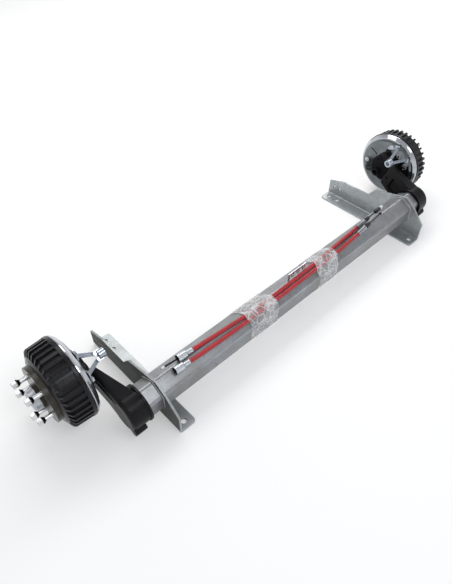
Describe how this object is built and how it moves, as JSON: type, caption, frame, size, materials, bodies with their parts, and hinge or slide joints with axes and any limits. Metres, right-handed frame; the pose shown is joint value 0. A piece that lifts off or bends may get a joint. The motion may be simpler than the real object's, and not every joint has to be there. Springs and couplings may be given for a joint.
{
  "type": "trailer axle",
  "caption": "Braked rubber torsion trailer axle on two chassis brackets, finned black drums, red brake cables tied along the tube",
  "frame": {"origin": "middle of the rectangle of chassis bolt holes, on the chassis face of the flanges", "axes": "+X along the axle to the right end, +Y to the rear, +Z away from the chassis"},
  "size_m": [1.626, 0.4, 0.2522],
  "materials": {
    "galvanised_steel": "hot-dip galvanised, dull",
    "black_rubber": "moulded rubber",
    "red_casing": "smooth extruded casing",
    "zinc_plate": "zinc plated, bright",
    "clear_film": "clear stretch film",
    "black_paint": "satin black, dusty",
    "bearing_steel": "ground",
    "cast_iron": "bare casting",
    "friction_lining": "brake lining",
    "dark_steel": "blackened steel"
  },
  "bodies": {
    "axle_beam": {"axle_tube": "galvanised_steel", "bracket_left": "galvanised_steel", "bracket_right": "galvanised_steel", "rubber_cords_left": "black_rubber", "rubber_cords_right": "black_rubber", "brake_cable_upper": "red_casing", "brake_cable_lower": "red_casing", "cable_bells": "zinc_plate", "cable_sleeves": "zinc_plate", "cable_gaiters": "black_rubber", "film_wrap_left": "clear_film", "film_wrap_right": "clear_film", "clamp_strip": "zinc_plate"},
    "arm_left": {"swing_arm_left": "black_paint", "torsion_bar_left": "bearing_steel", "stub_axle_left": "bearing_steel", "backplate_left": "zinc_plate", "cable_bracket_left": "zinc_plate", "bracket_screws_left": "zinc_plate", "backplate_screws_left": "black_paint", "inspection_plugs_left": "black_rubber", "shoe_springs_left": "zinc_plate", "expander_post_left": "cast_iron", "brake_anchor_left": "cast_iron", "bearing_inner_left": "bearing_steel", "axle_nut_left": "zinc_plate"},
    "drum_left": {"brake_drum_left": "black_paint", "bearing_outer_left": "bearing_steel", "circlip_left": "bearing_steel", "grease_cap_left": "zinc_plate", "wheel_bolts_left": "zinc_plate"},
    "shoe_front_left": {"brake_shoe_front_left": "friction_lining"},
    "shoe_rear_left": {"brake_shoe_rear_left": "friction_lining"},
    "lever_left": {"expander_lever_left": "zinc_plate"},
    "arm_right": {"swing_arm_right": "black_paint", "torsion_bar_right": "bearing_steel", "stub_axle_right": "bearing_steel", "backplate_right": "zinc_plate", "cable_bracket_right": "zinc_plate", "bracket_screws_right": "zinc_plate", "backplate_screws_right": "black_paint", "inspection_plugs_right": "black_rubber", "shoe_springs_right": "zinc_plate", "expander_post_right": "cast_iron", "brake_anchor_right": "cast_iron", "bearing_inner_right": "bearing_steel", "axle_nut_right": "zinc_plate"},
    "drum_right": {"brake_drum_right": "black_paint", "bearing_outer_right": "bearing_steel", "circlip_right": "bearing_steel", "grease_cap_right": "zinc_plate", "wheel_bolts_right": "zinc_plate"},
    "shoe_front_right": {"brake_shoe_front_right": "friction_lining"},
    "shoe_rear_right": {"brake_shoe_rear_right": "friction_lining"},
    "lever_right": {"expander_lever_right": "zinc_plate"},
    "eye_upper": {"wire_eye_upper": "zinc_plate"},
    "rod_upper": {"wire_rod_upper": "dark_steel"},
    "eye_lower": {"wire_eye_lower": "zinc_plate"},
    "rod_lower": {"wire_rod_lower": "dark_steel"}
  },
  "joints": [
    {"name": "arm_swing_left", "type": "hinge", "parent": "axle_beam", "child": "arm_left", "pos_m": [-0.62, -0.1024, 0.0842], "axis": [1, 0, 0], "range_deg": [-28, 0], "stiffness_Nm_per_rad": 2700, "deforming": ["rubber_cords_left"]},
    {"name": "wheel_hub_left", "type": "hinge", "parent": "arm_left", "child": "drum_left", "pos_m": [-0.72, 0.04924, 0.13523], "axis": [1, 0, 0], "continuous": true},
    {"name": "expander_left", "type": "hinge", "parent": "arm_left", "child": "lever_left", "pos_m": [-0.715, 0.00339, 0.20322], "axis": [0, -0.5592, 0.829], "range_deg": [-16, 0], "stiffness_Nm_per_rad": 0.5},
    {"name": "shoe_front_hinge_left", "type": "hinge", "parent": "arm_left", "child": "shoe_front_left", "pos_m": [-0.715, 0.0793, 0.05894], "axis": [1, 0, 0], "range_deg": [0, 0.56]},
    {"name": "shoe_rear_hinge_left", "type": "hinge", "parent": "arm_left", "child": "shoe_rear_left", "pos_m": [-0.715, 0.10872, 0.07879], "axis": [1, 0, 0], "range_deg": [-0.56, 0]},
    {"name": "arm_swing_right", "type": "hinge", "parent": "axle_beam", "child": "arm_right", "pos_m": [0.62, -0.1024, 0.0842], "axis": [1, 0, 0], "range_deg": [-28, 0], "stiffness_Nm_per_rad": 2700, "deforming": ["rubber_cords_right"]},
    {"name": "wheel_hub_right", "type": "hinge", "parent": "arm_right", "child": "drum_right", "pos_m": [0.72, 0.04924, 0.13523], "axis": [1, 0, 0], "continuous": true},
    {"name": "expander_right", "type": "hinge", "parent": "arm_right", "child": "lever_right", "pos_m": [0.715, 0.00339, 0.20322], "axis": [0, -0.5592, 0.829], "range_deg": [0, 16], "stiffness_Nm_per_rad": 0.5},
    {"name": "shoe_front_hinge_right", "type": "hinge", "parent": "arm_right", "child": "shoe_front_right", "pos_m": [0.715, 0.0793, 0.05894], "axis": [1, 0, 0], "range_deg": [0, 0.56]},
    {"name": "shoe_rear_hinge_right", "type": "hinge", "parent": "arm_right", "child": "shoe_rear_right", "pos_m": [0.715, 0.10872, 0.07879], "axis": [1, 0, 0], "range_deg": [-0.56, 0]},
    {"name": "wire_far_upper", "type": "slide", "parent": "axle_beam", "child": "rod_upper", "axis": [0.9981, 0.0342, 0.0522], "range_m": [0, 0.018]},
    {"name": "wire_near_upper", "type": "slide", "parent": "axle_beam", "child": "eye_upper", "axis": [0.997, -0.0435, -0.0634], "range_m": [0, 0.018]},
    {"name": "wire_far_lower", "type": "slide", "parent": "axle_beam", "child": "rod_lower", "axis": [0.9947, 0.0414, 0.0941], "range_m": [0, 0.018]},
    {"name": "wire_near_lower", "type": "slide", "parent": "axle_beam", "child": "eye_lower", "axis": [0.9973, -0.0231, -0.0704], "range_m": [0, 0.018]}
  ],
  "couplings": [
    {"joint": "shoe_front_hinge_left", "follows": "expander_left", "ratio": -0.035},
    {"joint": "shoe_rear_hinge_left", "follows": "expander_left", "ratio": 0.035},
    {"joint": "shoe_front_hinge_right", "follows": "expander_right", "ratio": 0.035},
    {"joint": "shoe_rear_hinge_right", "follows": "expander_right", "ratio": -0.035},
    {"joint": "wire_near_upper", "follows": "wire_far_upper", "ratio": 1},
    {"joint": "wire_near_lower", "follows": "wire_far_lower", "ratio": 1}
  ]
}
